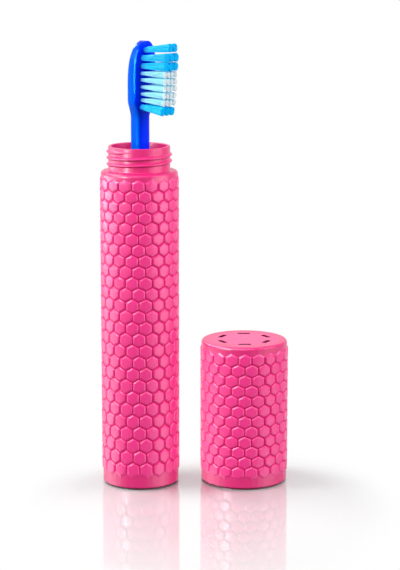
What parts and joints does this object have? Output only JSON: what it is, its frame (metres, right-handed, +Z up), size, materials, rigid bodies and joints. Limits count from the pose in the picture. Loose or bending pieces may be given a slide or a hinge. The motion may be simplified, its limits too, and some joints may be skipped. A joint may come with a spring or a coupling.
{
  "type": "toothbrush case",
  "caption": "Upright screw-top toothbrush case with raised honeycomb pads, its vented cap set down beside it and a toothbrush standing inside.",
  "frame": {"origin": "centre of the case's flat base, on the surface that case and cap stand on", "axes": "+Z up along the case's axis, +X from the case towards the cap, -Y towards the picture's viewer"},
  "size_m": [0.0768, 0.0363, 0.1818],
  "materials": {
    "pink_plastic": "satin moulded",
    "blue_plastic": "glossy, slightly translucent",
    "cyan_bristle": "nylon filament",
    "ice_bristle": "pale nylon filament"
  },
  "bodies": {
    "case": {"case_body": "pink_plastic"},
    "toothbrush": {"brush_handle": "blue_plastic", "tuft_row1_col1": "cyan_bristle", "tuft_row1_col2": "cyan_bristle", "tuft_row2_col1": "cyan_bristle", "tuft_row2_col2": "cyan_bristle", "tuft_row2_col3": "cyan_bristle", "tuft_row3_col1": "cyan_bristle", "tuft_row3_col2": "cyan_bristle", "tuft_row3_col3": "cyan_bristle", "tuft_row4_col1": "ice_bristle", "tuft_row4_col2": "ice_bristle", "tuft_row4_col3": "ice_bristle", "tuft_row4_col4": "ice_bristle", "tuft_row5_col1": "ice_bristle", "tuft_row5_col2": "ice_bristle", "tuft_row5_col3": "ice_bristle", "tuft_row5_col4": "ice_bristle", "tuft_row6_col1": "ice_bristle", "tuft_row6_col2": "ice_bristle", "tuft_row6_col3": "ice_bristle", "tuft_row6_col4": "ice_bristle", "tuft_row7_col1": "ice_bristle", "tuft_row7_col2": "ice_bristle", "tuft_row7_col3": "ice_bristle", "tuft_row7_col4": "ice_bristle", "tuft_row8_col1": "ice_bristle", "tuft_row8_col2": "ice_bristle", "tuft_row8_col3": "ice_bristle", "tuft_row8_col4": "ice_bristle", "tuft_row9_col1": "cyan_bristle", "tuft_row9_col2": "cyan_bristle", "tuft_row9_col3": "cyan_bristle"},
    "cap": {"screw_cap": "pink_plastic"}
  },
  "joints": [
    {"name": "brush_draw", "type": "slide", "parent": "case", "child": "toothbrush", "axis": [0, 0, 1], "range_m": [0, 0.14]},
    {"name": "cap_lift", "type": "slide", "parent": "case", "child": "cap", "axis": [0, 0, 1], "range_m": [0, 0.19]}
  ]
}
